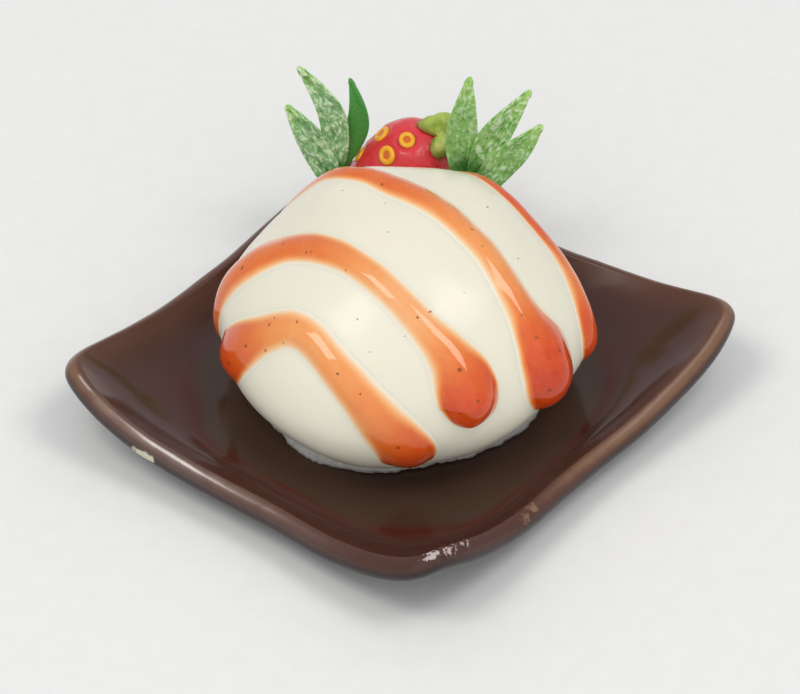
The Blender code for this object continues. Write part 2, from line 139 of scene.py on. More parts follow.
class Value:
    # a shader socket that Python's own operators work on
    def __init__(self, tree, socket=None):
        self.tree = tree
        self.socket = socket

    def node(self, kind, settings=None, inputs=None, output=0):
        made = self.tree.nodes.new("ShaderNode" + kind)
        for name, setting in (settings or {}).items():
            if name == "stops":
                setStops(made.color_ramp, setting)
            else:
                setattr(made, name, setting)
        for name, value in (inputs or {}).items():
            if isinstance(value, Value):
                self.tree.links.new(value.socket, made.inputs[name])
            else:
                made.inputs[name].default_value = value
        return Value(self.tree, made.outputs[output])

    def sum(self, operation, first, second):
        return self.node("Math", {"operation": operation}, {0: first, 1: second})

    def __add__(self, other):
        return self.sum("ADD", self, other)

    __radd__ = __add__

    def __sub__(self, other):
        return self.sum("SUBTRACT", self, other)

    def __rsub__(self, other):
        return self.sum("SUBTRACT", other, self)

    def __mul__(self, other):
        return self.sum("MULTIPLY", self, other)

    __rmul__ = __mul__

    def between(self, low, high):
        # 0 at low, 1 at high, smooth in the middle
        return self.node("MapRange", {"interpolation_type": "SMOOTHSTEP"},
                         {"Value": self, "From Min": low, "From Max": high})

    def colours(self, *stops):
        return self.node("ValToRGB", {"stops": stops}, {"Fac": self})

    def blend(self, first, second):
        # the first colour at 0, the second at 1
        return self.node("Mix", {"data_type": "RGBA"},
                         {0: self, 6: asColour(first), 7: asColour(second)}, 2)


def asColour(value):
    return value if isinstance(value, Value) else (*value, 1.0)


def setStops(ramp, stops):
    while len(ramp.elements) < len(stops):
        ramp.elements.new(1.0)
    for element, (place, colour) in zip(ramp.elements, stops):
        element.position = place
        element.color = (*colour, 1.0)


def startMaterial(name):
    material = bpy.data.materials.new(name)
    material.use_nodes = True
    return material, Value(material.node_tree)


def setShader(material, uniform, varying):
    shader = material.node_tree.nodes["Principled BSDF"]
    for name, value in uniform.items():
        shader.inputs[name].default_value = value
    for name, value in varying.items():
        material.node_tree.links.new(value.socket, shader.inputs[name])


def placeOn(start):
    return start.node("TexCoord", output="Object")


def fromMesh(start, name):
    return start.node("Attribute", {"attribute_name": name}, output="Fac")


def clouds(start, place, size, detail=3.0, roughness=0.5):
    # soft noise whose features are about size metres across
    return start.node("TexNoise", {}, {"Vector": place, "Scale": 1.0 / size, "Detail": detail,
                                       "Roughness": roughness})


def spotAt(start, place, centre, radius, softness):
    # 1 in a ball round centre, 0 outside it
    far = start.node("VectorMath", {"operation": "DISTANCE"}, {0: place, 1: centre}, "Value")
    return 1.0 - far.between(radius * (1.0 - softness), radius)


def jitter(start, place, size, amount):
    # the place shifted a little by noise, which makes spots ragged
    cloud = start.node("TexNoise", {}, {"Vector": place, "Scale": 1.0 / size, "Detail": 2.0}, "Color")
    back = start.node("VectorMath", {"operation": "SUBTRACT"}, {0: place, 1: (0.5 * amount,) * 3})
    spread = (amount,) * 3
    return start.node("VectorMath", {"operation": "MULTIPLY_ADD"}, {0: cloud, 1: spread, 2: back})


def bump(start, height, distance):
    return start.node("Bump", {}, {"Distance": distance, "Height": height})


# camera, light and floor

view = {
    "azimuth": -7.37,
    "elevation": 43.6,
    "distance": 0.4,
    "lens": 342.0,
    "sensor": 36.0,
    "nearest": 0.01,
    "aimRight": 0.1 * mm,
    "aimUp": 2.9 * mm,
}
lights = {
    # azimuth, elevation, size, power and colour
    "left": (-164.0, 62.5, 0.19, 0.66, (1.0, 0.97, 0.93)),
    "right": (-15.5, 63.0, 0.19, 0.62, (1.0, 0.97, 0.94)),
    "front": (-97.0, 20.0, 1.0, 1.15, (1.0, 1.0, 1.0)),
}
lightDistance = 0.5
roomGlow = {"colour": (0.95, 0.97, 1.0), "strength": 0.62}
ground = {
    "size": 6.0,
    "grain": 1.2 * mm,
    "dark": (0.74, 0.74, 0.73),
    "pale": (0.79, 0.79, 0.78),
    "roughness": 0.9,
}


def addCamera():
    azimuth, elevation = math.radians(view["azimuth"]), math.radians(view["elevation"])
    back = Vector((math.sin(azimuth) * math.cos(elevation), -math.cos(azimuth) * math.cos(elevation),
                   math.sin(elevation)))
    right = Vector((math.cos(azimuth), math.sin(azimuth), 0.0))
    place = back * view["distance"] + right * view["aimRight"] + back.cross(right) * view["aimUp"]
    bpy.ops.object.camera_add(location=place, rotation=back.to_track_quat("Z", "Y").to_euler())
    camera = bpy.context.object
    camera.name = "camera"
    camera.data.lens = view["lens"]
    camera.data.sensor_width = view["sensor"]
    camera.data.clip_start = view["nearest"]
    bpy.context.scene.camera = camera


def addLights():
    for name, (azimuth, elevation, size, power, colour) in lights.items():
        away = aim(azimuth, elevation)
        bpy.ops.object.light_add(type="AREA", location=away * lightDistance,
                                 rotation=away.to_track_quat("Z", "Y").to_euler())
        lamp = bpy.context.object
        lamp.name = "softbox_" + name
        lamp.data.shape = "SQUARE"
        lamp.data.size = size
        lamp.data.energy = power
        lamp.data.color = colour
    world = bpy.data.worlds.new("room")
    world.use_nodes = True
    glow = world.node_tree.nodes["Background"]
    glow.inputs["Color"].default_value = (*roomGlow["colour"], 1.0)
    glow.inputs["Strength"].default_value = roomGlow["strength"]
    bpy.context.scene.world = world
    bpy.context.scene.view_settings.view_transform = "Standard"


def addFloor():
    bpy.ops.mesh.primitive_plane_add(size=ground["size"], location=(0.0, 0.0, 0.0))
    floor = justAdded("floor")
    material, start = startMaterial("pale floor")
    grain = clouds(start, placeOn(start), ground["grain"], 4.0)
    setShader(material, {"Roughness": ground["roughness"]},
              {"Base Color": grain.blend(ground["dark"], ground["pale"])})
    floor.data.materials.append(material)


deselectAll()
addCamera()
addLights()
addFloor()
print("camera, light and floor are in place")


# plate: a square of brown glazed clay with raised corners

plate = {
    # how far out both ends of a side are: back right, back left, front left, front right
    "sides": ((13.2, 11.9), (11.9, 12.9), (12.5, 12.6), (11.5, 12.8)),
    # height of the back, left, front and right corner
    "corners": (2.9, 4.7, 4.8, 4.7),
    "sideBow": 0.45,
    "thickness": 1.5,
    "sideHeight": 2.7,
    "squareness": 10.0,
    "cornerRounding": math.radians(5),
    "wellHalf": 10.2,
    "wellSquareness": 3.4,
    "footHalf": 9.0,
    "footSquareness": 4.0,
    "overhang": 0.75,
    "raysPerSide": 26,
    "topShares": (0.0, 0.12, 0.3, 0.5, 0.7, 0.86, 0.96),
    "lipTurns": (0, 25, 50, 75, 100, 125, 150),
    "underShares": (0.95, 0.8, 0.6, 0.4, 0.2, 0.05, 0.0),
    "wellShares": (0.12, 0.35, 0.6, 0.8, 0.93, 0.985),
    "footShares": (0.97, 0.6, 0.15),
    "unevenness": 0.09,
    # scale of the waves to the metre: broad, small and along the outline
    "waves": (180.0, 520.0, 260.0),
    # how high above the foot the waves are at their full height, and where the outline's waves start
    "wavesFullAt": 1.2,
    "outlineWavesFrom": (10.5, 13.0),
}


def roundedSquare(angle, half, squareness):
    reach = abs(math.cos(angle)) ** squareness + abs(math.sin(angle)) ** squareness
    return half / reach ** (1.0 / squareness)


def rimReach(angle):
    closeness = 0.0
    for side, (start, end) in enumerate(plate["sides"]):
        facing = math.cos(angle - side * math.pi / 2)
        if facing > 0.1:
            along = 0.5 + 0.5 * math.tan(angle - side * math.pi / 2)
            reach = start + (end - start) * min(1.0, max(0.0, along))
            closeness += (facing / reach) ** plate["squareness"]
    return closeness ** (-1.0 / plate["squareness"]) - plate["sideBow"] * math.cos(2.0 * angle) ** 2


def rimHeight(angle):
    rounding = plate["cornerRounding"]
    corner = int(angle % (2.0 * math.pi) // (math.pi / 2))
    off = math.hypot(angle % (math.pi / 2) - math.pi / 4, rounding)
    nearness = math.tan(max(0.0, math.pi / 4 - off)) / math.tan(math.pi / 4 - rounding)
    return plate["sideHeight"] + (plate["corners"][corner] - plate["sideHeight"]) * nearness ** 3


def plateWell(angle, share):
    return roundedSquare(angle, plate["wellHalf"], plate["wellSquareness"]) * share, plate["thickness"]


def plateTop(angle, share):
    well = roundedSquare(angle, plate["wellHalf"], plate["wellSquareness"])
    rise = (rimHeight(angle) - plate["thickness"]) * share ** 1.5
    return well + (rimReach(angle) - well) * share, plate["thickness"] + rise


def plateLip(angle, turn):
    drop = 0.5 * plate["thickness"] * (1.0 - math.cos(math.radians(turn)))
    return rimReach(angle) + plate["overhang"] * math.sin(math.radians(turn)), rimHeight(angle) - drop


def plateUnder(angle, share):
    foot = roundedSquare(angle, plate["footHalf"], plate["footSquareness"])
    reach = foot + (rimReach(angle) + 0.3 * plate["overhang"] - foot) * share
    return reach, (rimHeight(angle) - plate["thickness"] - 0.1) * share ** 1.5


def plateFoot(angle, share):
    return roundedSquare(angle, plate["footHalf"], plate["footSquareness"]) * share, 0.0


def plateProfile():
    rings = [(plateWell, share) for share in plate["wellShares"]]
    rings += [(plateTop, share) for share in plate["topShares"]]
    rings += [(plateLip, turn) for turn in plate["lipTurns"]]
    rings += [(plateUnder, share) for share in plate["underShares"]]
    rings += [(plateFoot, share) for share in plate["footShares"]]
    return rings


def plateRays():
    # closer together at the corners
    rays = []
    for side in range(4):
        for step in range(plate["raysPerSide"]):
            share = 2.0 * step / plate["raysPerSide"] - 1.0
            bunched = math.copysign(abs(share) ** 1.5, share)
            rays.append(math.radians(90.0 * side + 45.0 + 45.0 * bunched))
    return rays


def plateUneven(place):
    # the hand-pressed slab is a little wavy, but its foot stays flat
    lift = smoothStep(0.0, plate["wavesFullAt"] * mm, place.z) * plate["unevenness"] * mm
    broad, small, outline = plate["waves"]
    wave = noise.noise(place * broad) + 0.35 * noise.noise(place * small)
    side = noise.noise(place * outline + Vector((7.0, 3.0, 1.0)))
    outward = Vector((place.x, place.y, 0.0)).normalized()
    inner, outer = plate["outlineWavesFrom"]
    edge = smoothStep(inner * mm, outer * mm, Vector((place.x, place.y)).length)
    return place + Vector((0.0, 0.0, lift * wave)) + outward * lift * side * edge


def rimPlace(azimuth, turn):
    # a point of the lip: turn 0 is its crest, 90 its outermost line
    reach, height = plateLip(math.radians(azimuth - 45.0), turn)
    return heading(math.radians(azimuth), 0.0) * reach * mm + Vector((0.0, 0.0, height * mm))


glaze = {
    # azimuth and how far the clay shows through along the crest
    "thin": ((-180, 0.75), (-165, 0.5), (-140, 0.5), (-115, 0.28), (-90, 0.05), (-72, 0.15), (-50, 0.6),
             (-25, 0.95), (0, 0.9), (25, 0.45), (90, 0.3), (150, 0.4), (180, 0.75)),
    # azimuth and how broad and bright the crest shines
    "sheen": ((-180, 0.1), (-172, 0.5), (-160, 1.0), (-148, 1.0), (-132, 0.55), (-116, 0.4), (-104, 0.0),
              (180, 0.1)),
    # azimuth and how dull the crest is
    "dull": ((-180, 0.0), (-80, 0.0), (-60, 0.8), (-10, 1.0), (15, 0.8), (40, 0.3), (150, 0.2), (180, 0.0)),
    # how far out the line of bare clay and of the shine lie, and how wide each is
    "edgeLine": (0.35, 0.16),
    "sheenLine": (0.4, 0.22),
    "well": (0.052, 0.027, 0.017),
    "slope": (0.06, 0.0215, 0.0155),
    "ridge": (0.062, 0.0095, 0.0045),
    "crest": (0.105, 0.038, 0.022),
    "clay": (0.185, 0.095, 0.052),
    # painted shade on the faces under the lip that turn outwards and down
    "outside": (0.02, 0.0115, 0.0115),
    "chipped": (0.60, 0.56, 0.43),
    "nicked": (0.21, 0.115, 0.062),
    # painted highlight: pale specks that stand for glints on the pitted patch
    "glintSpeck": (0.46, 0.38, 0.37),
    # azimuth, turn and radius of each mark
    "chips": ((-163.8, 108, 0.36), (-162.6, 103, 0.36), (-161.4, 99, 0.34), (-160.2, 93, 0.28)),
    "nicks": ((-67.5, 45, 0.4), (-64.5, 30, 0.34)),
    "pits": ((-91.5, 8, 0.75), (-88.0, 6, 0.65), (-84.5, 2, 0.5)),
}
glazeLayers = ("crest", "edge", "ridge", "inWell", "outside", "sheen", "dull")


def aroundRim(name, azimuth):
    # a share of the glaze that changes from place to place along the rim
    return float(np.interp(azimuth, *zip(*glaze[name])))


def rimLine(out, down, middle, width):
    # 1 along a line on the crest, fading to both sides
    return math.exp(-((out - middle) ** 2 + (down - 0.15) ** 2) / width)


def glazeShares(vertex):
    # how far this place belongs to each layer of the glaze
    place = vertex.co / mm
    azimuth = math.degrees(math.atan2(place.y, place.x))
    angle = math.radians(azimuth - 45.0)
    out = math.hypot(place.x, place.y) - rimReach(angle)
    down = rimHeight(angle) - place.z
    well = roundedSquare(angle, plate["wellHalf"], plate["wellSquareness"])
    across = (out + rimReach(angle) - well) / (rimReach(angle) - well)
    thin = aroundRim("thin", azimuth)
    top = smoothStep(1.0, 0.5, down) if out > 0.3 else smoothStep(1.6, 0.2, down)
    crest = thin ** 0.6 * top * math.exp(-(min(0.0, out - 0.2) / 1.9) ** 2)
    edge = thin * rimLine(out, down, *glaze["edgeLine"])
    # painted shade: darker where the surface turns outwards and down
    outside = 1.0 - smoothStep(-0.1, 0.6, vertex.normal.z)
    upper = smoothStep(0.0, 0.4, vertex.normal.z)
    ridge = math.exp(-((across + 0.16 + 0.12 * noise.noise(place * 0.35)) / 0.09) ** 2) * upper
    inWell = (1.0 - smoothStep(-0.3, -0.05, across)) * upper
    sheen = rimLine(out, down, *glaze["sheenLine"]) * aroundRim("sheen", azimuth)
    dull = math.exp(-((out - 0.1) ** 2 + min(0.0, 0.4 - down) ** 2) / 0.8) * aroundRim("dull", azimuth)
    return crest, edge, ridge, inWell, outside, sheen, dull


def marksAt(start, place, marks, ragged=0.9):
    # spots on the rim, with outlines ragged by up to that many mm
    total = 0.0
    place = jitter(start, place, 0.4 * mm, ragged * mm)
    for azimuth, turn, radius in marks:
        total = total + spotAt(start, place, rimPlace(azimuth, turn), radius * mm, 0.45)
    return total


def glazeMaterial():
    material, start = startMaterial("brown glaze")
    place = placeOn(start)
    crest, edge, ridge, inWell, outside, sheen, dull = (fromMesh(start, name) for name in glazeLayers)
    patches = clouds(start, place, 4.0 * mm, 4.0, 0.6)
    streaks = clouds(start, place, 0.9 * mm, 5.0, 0.65)
    fine = clouds(start, place, 0.5 * mm, 3.0)
    glintSpecks = clouds(start, place, 0.24 * mm, 1.0)
    colour = inWell.blend(glaze["slope"], glaze["well"])
    colour = (ridge * 0.85 * patches.between(0.3, 0.6)).blend(colour, glaze["ridge"])
    colour = (crest * (0.55 + 0.7 * patches)).blend(colour, glaze["crest"])
    thin = (edge * (0.5 + streaks)).between(0.15, 0.85)
    colour = thin.blend(colour, glaze["clay"])
    # painted shade on the outward and downward faces under the lip
    colour = outside.blend(colour, glaze["outside"])
    chip = marksAt(start, place, glaze["chips"], 0.3) * streaks.between(0.2, 0.5)
    colour = chip.blend(colour, glaze["chipped"])
    nick = marksAt(start, place, glaze["nicks"]) * streaks.between(0.35, 0.5)
    colour = nick.blend(colour, glaze["nicked"])
    pits = marksAt(start, place, glaze["pits"])
    # painted highlight: pale specks in the pitted patch stand for its glints of light
    colour = (pits * glintSpecks.between(0.52, 0.6)).blend(colour, glaze["glintSpeck"])
    rough = 0.07 + 0.08 * patches + 0.28 * dull + 0.45 * chip
    relief = bump(start, fine * 0.008 + pits * glintSpecks * 1.2 + streaks * 0.012, 0.1 * mm)
    setShader(material, {"IOR": 1.42, "Coat Roughness": 0.27, "Coat IOR": 1.9},
              {"Base Color": colour, "Roughness": rough, "Coat Weight": sheen * (0.5 + streaks),
               "Normal": relief})
    return material


def growRing(piece, section, share):
    # extrude the open edge and set the new ring at its own reach and height
    bpy.ops.object.mode_set(mode="EDIT")
    bpy.ops.mesh.extrude_region_move()
    bpy.ops.object.mode_set(mode="OBJECT")
    placeRing(piece, section, share)


def placeRing(piece, section, share):
    for vertex in piece.data.vertices:
        if vertex.select:
            turn = math.atan2(vertex.co.y, vertex.co.x)
            reach, height = section(turn - math.radians(45), share)
            vertex.co = Vector((reach * math.cos(turn), reach * math.sin(turn), height)) * mm


def buildPlate():
    rays = plateRays()
    deselectAll()
    bpy.ops.mesh.primitive_circle_add(vertices=len(rays), radius=mm, fill_type="TRIFAN")
    piece = justAdded("glazedPlate")
    rim = [vertex for vertex in piece.data.vertices if vertex.co.length > 0.5 * mm]
    rim.sort(key=lambda vertex: math.atan2(vertex.co.y, vertex.co.x) % (2.0 * math.pi))
    for vertex, ray in zip(rim, rays):
        turn = ray + math.radians(45)
        vertex.co = Vector((math.cos(turn), math.sin(turn), 0.0)) * mm
    for vertex in piece.data.vertices:
        vertex.select = vertex.co.length > 0.5 * mm
        if not vertex.select:
            vertex.co = Vector((0.0, 0.0, plate["thickness"] * mm))
    for edge in piece.data.edges:
        edge.select = all(piece.data.vertices[i].select for i in edge.vertices)
    for face in piece.data.polygons:
        face.select = False
    bpy.ops.object.mode_set(mode="EDIT")
    bpy.ops.mesh.select_mode(type="EDGE")
    bpy.ops.object.mode_set(mode="OBJECT")
    profile = plateProfile()
    placeRing(piece, *profile[0])
    for section, share in profile[1:]:
        growRing(piece, section, share)
    bpy.ops.object.mode_set(mode="EDIT")
    bpy.ops.mesh.edge_face_add()
    bpy.ops.mesh.poke()
    bpy.ops.object.mode_set(mode="OBJECT")
    faceOutwards(piece)
    subdivide(piece, 2)
    moveVertices(piece, plateUneven)
    shares = [glazeShares(vertex) for vertex in piece.data.vertices]
    for name, values in zip(glazeLayers, zip(*shares)):
        storeValues(piece, name, values)
    finishPiece(piece, glazeMaterial(), "plate")


buildPlate()


# dome of cream

dome = {
    "centre": Vector((0.05, 0.65, 5.05)),
    "radius": 9.35,
    "crown": 7.0,
    "undercut": 5.0,
    "squareness": 1.8,
    "lean": Vector((0.45, 0.45, 0.0)),
    "base": 1.6,
    # azimuth, elevation and how far the hand-moulded cream stands out there
    "swells": ((167, 20, 0.25), (145, 34, -0.4), (118, 44, 0.65), (45, 38, 0.4), (22, 22, -0.25),
               (-14, -4, 0.6), (245, -22, 0.25), (325, -14, -0.15)),
    "tightness": 16,
    "wave": 0.045,
    "segments": 256,
    "rings": 144,
}
creamColour = (0.795, 0.758, 0.625)
creamShade = (0.765, 0.735, 0.60)
speckColour = (0.2, 0.12, 0.06)
swells = [(aim(azimuth, elevation), height) for azimuth, elevation, height in dome["swells"]]


def domePoint(towards, lift=0.0):
    # the point of the dome in this direction from its inner centre, raised by lift, in mm
    level = math.hypot(towards.x, towards.y) / dome["radius"]
    if towards.z >= 0.0:
        closeness = level ** dome["squareness"] + (towards.z / dome["crown"]) ** dome["squareness"]
        reach = closeness ** (-1.0 / dome["squareness"])
    else:
        reach = 1.0 / math.hypot(level, towards.z / dome["undercut"])
    reach += sum(height * max(0.0, towards.dot(swell)) ** dome["tightness"] for swell, height in swells)
    reach += dome["wave"] * (noise.noise(towards * 2.6) + 0.4 * noise.noise(towards * 7.0))
    point = dome["centre"] + towards * (reach + lift)
    height = (point.z - dome["base"]) / (dome["centre"].z + dome["crown"] - dome["base"])
    return point + dome["lean"] * height


def baseElevation():
    sink = dome["centre"].z - dome["base"]
    level = dome["radius"] * math.sqrt(1.0 - (sink / dome["undercut"]) ** 2)
    return math.atan2(-sink, level)


# azimuth, elevation and radius in mm of the dark specks that show
creamSpecks = (
    (328, 62, 0.176), (218, 80, 0.095), (239, 40.5, 0.068), (248.5, 30.5, 0.081), (263.5, 37, 0.068),
    (119.5, 76, 0.081), (300, 48, 0.054), (200, 62, 0.054), (345, 40, 0.068), (20, 50, 0.108),
    (95, 30, 0.095), (60, 12, 0.081), (130, 55, 0.081), (310, 10, 0.054),
)
sauceSpecks = (
    (214, 31, 0.128), (204, 24, 0.144), (203.5, 26.5, 0.096), (208, 16.5, 0.112), (213.5, 22.5, 0.08),
    (200.5, 13.5, 0.128), (171.5, 23, 0.144), (277, 45, 0.128), (269.5, 43.5, 0.096), (346.5, 62, 0.112),
    (217, 55.5, 0.096), (248.5, 17.5, 0.096), (283, 24.5, 0.16), (288, 6, 0.112), (106, 66, 0.112),
    (286.5, 15, 0.112), (321, 15, 0.128), (318, 30, 0.096), (196, 4, 0.128), (262, 2, 0.128),
    (186, 48, 0.112), (20, 70, 0.112), (335, 56, 0.08), (120, 30, 0.128), (172, 40, 0.112), (40, 28, 0.096),
    (313, 6, 0.144), (316.5, 22, 0.112), (281, 12, 0.096), (239, 22, 0.112), (188, 50, 0.096),
)
flesh = {
    "IOR": 1.46,
    "Specular IOR Level": 0.3,
    "Subsurface Weight": 0.3,
    "Subsurface Radius": (1.0, 0.65, 0.4),
    "Subsurface Scale": 0.6 * mm,
}


def specksAt(start, place, specks):
    # compared by direction from the inner centre, so that they also show on the raised sauce
    ragged = jitter(start, place, 0.12 * mm, 0.2 * mm)
    out = start.node("VectorMath", {"operation": "SUBTRACT"}, {0: ragged, 1: dome["centre"] * mm})
    out = start.node("VectorMath", {"operation": "NORMALIZE"}, {0: out})
    total = 0.0
    for azimuth, elevation, radius in specks:
        towards = (domePoint(aim(azimuth, elevation)) - dome["centre"]).normalized()
        total = total + spotAt(start, out, towards, radius / dome["radius"], 0.6)
    return total


def creamMaterial():
    material, start = startMaterial("set cream")
    place = placeOn(start)
    patches = clouds(start, place, 6.0 * mm, 3.0)
    grain = clouds(start, place, 0.5 * mm, 4.0)
    colour = patches.blend(creamColour, creamShade)
    colour = (specksAt(start, place, creamSpecks) * 0.8).blend(colour, speckColour)
    height = grain * 0.05 + clouds(start, place, 2.2 * mm, 2.0) * 0.35
    setShader(material, flesh,
              {"Base Color": colour, "Roughness": 0.2 + grain * 0.08,
               "Normal": bump(start, height, 0.05 * mm)})
    return material


def buildDome():
    deselectAll()
    bpy.ops.mesh.primitive_uv_sphere_add(segments=dome["segments"], ring_count=dome["rings"], radius=1.0)
    piece = justAdded("creamDome")
    bpy.ops.object.mode_set(mode="EDIT")
    bpy.ops.mesh.select_all(action="SELECT")
    bpy.ops.mesh.bisect(plane_co=(0.0, 0.0, math.sin(baseElevation())), plane_no=(0.0, 0.0, 1.0),
                        use_fill=True, clear_inner=True)
    bpy.ops.object.mode_set(mode="OBJECT")
    moveVertices(piece, lambda place: domePoint(place.normalized()) * mm)
    for vertex in piece.data.vertices:
        vertex.co.z = max(vertex.co.z, dome["base"] * mm)
    faceOutwards(piece)
    finishPiece(piece, creamMaterial(), "panna_cotta")


buildDome()


# orange sauce: each stream is a list of azimuth, elevation, half width, height and depth of colour

sauce = {
    "right": ((70, 17, 0.6, 0.15, 0.8), (58, 26, 0.65, 0.2, 0.8), (44, 32, 0.7, 0.25, 0.85),
              (29, 26, 0.75, 0.3, 0.85), (15, 19.5, 0.8, 0.32, 0.82), (3, 15.5, 0.85, 0.35, 0.68),
              (-6, 12, 0.9, 0.4, 0.68), (-12, 7, 0.95, 0.45, 0.85), (-15, 1, 1.0, 0.5, 0.92),
              (-17, -6, 0.95, 0.4, 0.95)),
    "tall": ((128, -8, 1.0, 0.3, 0.9), (124, 8, 0.8, 0.28, 0.8), (119, 28, 0.75, 0.25, 0.75),
             (114, 47, 0.85, 0.28, 0.75), (106, 56, 1.0, 0.3, 0.73), (92, 66, 1.2, 0.32, 0.72),
             (62, 73, 1.2, 0.32, 0.66), (14, 72, 1.1, 0.3, 0.55), (-14, 63, 1.05, 0.3, 0.47),
             (-24, 54, 1.05, 0.3, 0.44), (-33, 43, 1.05, 0.32, 0.48), (-37.5, 33, 1.1, 0.4, 0.62),
             (-39.5, 24, 1.35, 0.6, 0.82), (-40, 15.5, 1.65, 0.95, 0.94), (-41, 6, 1.75, 1.1, 1.0),
             (-42, -6, 1.6, 0.75, 1.0)),
    "middle": ((172, -8, 0.7, 0.3, 0.85), (170, 2, 0.85, 0.35, 0.82), (168, 13, 1.2, 0.38, 0.74),
               (168.5, 24, 1.3, 0.36, 0.7), (171.5, 36.5, 1.2, 0.34, 0.69), (176, 45, 1.1, 0.32, 0.7),
               (186.5, 53, 1.05, 0.3, 0.66), (202.5, 58.5, 1.0, 0.3, 0.56), (223.5, 60, 0.95, 0.28, 0.47),
               (244, 57, 0.95, 0.28, 0.38), (259.5, 50.5, 0.95, 0.28, 0.35), (273, 39.5, 1.0, 0.3, 0.38),
               (280.5, 30.5, 1.2, 0.45, 0.58), (285, 20.5, 1.6, 0.8, 0.84), (286, 12, 1.65, 1.05, 0.93),
               (284.5, 4, 1.55, 0.8, 0.95)),
    "left": ((186.5, -5, 1.3, 0.4, 1), (192, 3, 1.4, 0.5, 0.95), (195.5, 9, 1.3, 0.45, 0.86),
             (200.5, 16, 1.15, 0.38, 0.72), (205.5, 22, 1.05, 0.34, 0.54),
             (211.5, 26.8, 1, 0.32, 0.44), (219, 28.5, 0.95, 0.32, 0.42),
             (227.5, 27, 0.95, 0.32, 0.42), (235.5, 23.5, 0.95, 0.32, 0.44),
             (242.5, 19.7, 1, 0.32, 0.48), (249, 15, 1.05, 0.34, 0.54), (256, 8.5, 1.2, 0.38, 0.62),
             (261.5, 2.5, 1.3, 0.4, 0.78), (265.5, -4, 1.4, 0.45, 0.92), (268, -12, 1.4, 0.4, 0.98)),
}
ribbon = {"bed": 0.4, "flare": 1.2, "fadeIn": 0.35, "stepsPerStation": 12, "sides": 44, "rings": 200}
# depth of colour and the colour there
sauceStops = (
    (0.0, creamColour),
    (0.22, (0.85, 0.49, 0.24)),
    (0.45, (0.81, 0.30, 0.085)),
    (0.7, (0.72, 0.155, 0.024)),
    (0.9, (0.65, 0.08, 0.01)),
    (1.0, (0.57, 0.045, 0.003)),
)
sauceSpeckColour = (0.19, 0.035, 0.01)
# a clear wet skin over little scattering, so that the thin sides keep their red
wetness = {
    "Roughness": 0.24,
    "Specular IOR Level": 0.1,
    "Coat Roughness": 0.055,
    "Coat IOR": 1.47,
    "Subsurface Weight": 0.1,
    "Subsurface Radius": (1.0, 0.9, 0.8),
    "Subsurface Scale": 0.2 * mm,
}


def spline(before, start, end, after, t):
    # a smooth curve from start to end, as t goes from 0 to 1
    return 0.5 * (2.0 * start + (end - before) * t
                  + (2.0 * before - 5.0 * start + 4.0 * end - after) * t ** 2
                  + (3.0 * start - before - 3.0 * end + after) * t ** 3)


def sauceRoute(stations):
    # rows of x, y, z, half width, height and depth along a smooth curve, and the distance run at each row
    knots = []
    for azimuth, elevation, half, height, depth in stations:
        knots.append(np.array([*aim(azimuth, elevation), half, height, depth]))
    knots = [knots[0]] + knots + [knots[-1]]
    rows = []
    for before, start, end, after in zip(knots, knots[1:], knots[2:], knots[3:]):
        for step in range(ribbon["stepsPerStation"]):
            rows.append(spline(before, start, end, after, step / ribbon["stepsPerStation"]))
    rows = np.array(rows + [knots[-1]])
    places = [domePoint(Vector(row[:3]).normalized()) for row in rows]
    run = [0.0]
    for here, there in zip(places, places[1:]):
        run.append(run[-1] + (there - here).length)
    return rows, np.array(run)


def routeAt(route, distance):
    rows, run = route
    return [float(np.interp(distance, run, rows[:, column])) for column in range(6)]


def buildStream(name, stations):
    route = sauceRoute(stations)
    length = float(route[1][-1])
    deselectAll()
    bpy.ops.mesh.primitive_uv_sphere_add(segments=ribbon["sides"], ring_count=ribbon["rings"], radius=1.0)
    piece = justAdded("sauce_" + name)
    depths = []
    seed = Vector((len(stations), stations[0][0] * 0.1, 0.0))

    def layOut(place):
        # the ball is drawn out along the route: its poles become the two ends
        polar = math.acos(max(-1.0, min(1.0, place.z)))
        distance = length * (0.5 * polar / math.pi + 0.25 * (1.0 - math.cos(polar)))
        turn = math.atan2(place.y, place.x)
        x, y, z, half, height, depth = routeAt(route, distance)
        towards = Vector((x, y, z)).normalized()
        ahead = Vector(routeAt(route, distance + 0.05)[:3]) - Vector(routeAt(route, distance - 0.05)[:3])
        across = ahead.cross(towards).normalized()
        half *= ribbon["flare"] * (1.0 + 0.04 * noise.noise(seed + Vector((0.0, 0.0, distance * 0.6))))
        toEnd = min(distance, length - distance)
        if toEnd < half:
            nearEnd = math.sqrt(max(0.0, 1.0 - (1.0 - toEnd / half) ** 2))
            half, height = half * nearEnd, height * nearEnd
        aside = math.cos(turn)
        if math.sin(turn) >= 0.0:
            # a rounded bead whose edges run out thin over the cream
            lift = height * max(0.0, 1.0 - aside * aside) ** 1.5
        else:
            lift = ribbon["bed"] * math.sin(turn)
        crisp = smoothStep(0.6, 0.95, depth)
        edge = 1.0 - smoothStep(0.42 + 0.34 * crisp, 1.0 - 0.04 * crisp, abs(aside))
        depths.append(depth * edge * smoothStep(0.0, ribbon["fadeIn"], toEnd))
        return domePoint((towards * dome["radius"] + across * half * aside).normalized(), lift) * mm

    moveVertices(piece, layOut)
    storeValues(piece, "depth", depths)
    faceOutwards(piece)
    return piece


def sauceMaterial():
    material, start = startMaterial("orange sauce")
    place = placeOn(start)
    depth = fromMesh(start, "depth")
    cloudy = clouds(start, place, 1.1 * mm, 4.0, 0.55)
    fine = clouds(start, place, 0.25 * mm, 3.0)
    body = depth * (0.86 + 0.28 * cloudy) + depth * (fine - 0.5) * 0.12
    colour = body.colours(*sauceStops)
    colour = (specksAt(start, place, sauceSpecks) * 0.8).blend(colour, sauceSpeckColour)
    deep = depth.between(0.05, 0.5)
    height = clouds(start, place, 1.6 * mm, 2.0) * 0.35 + fine * 0.03
    setShader(material, {**flesh, **wetness},
              {"Base Color": colour, "Coat Weight": deep, "Normal": bump(start, height, 0.05 * mm)})
    return material


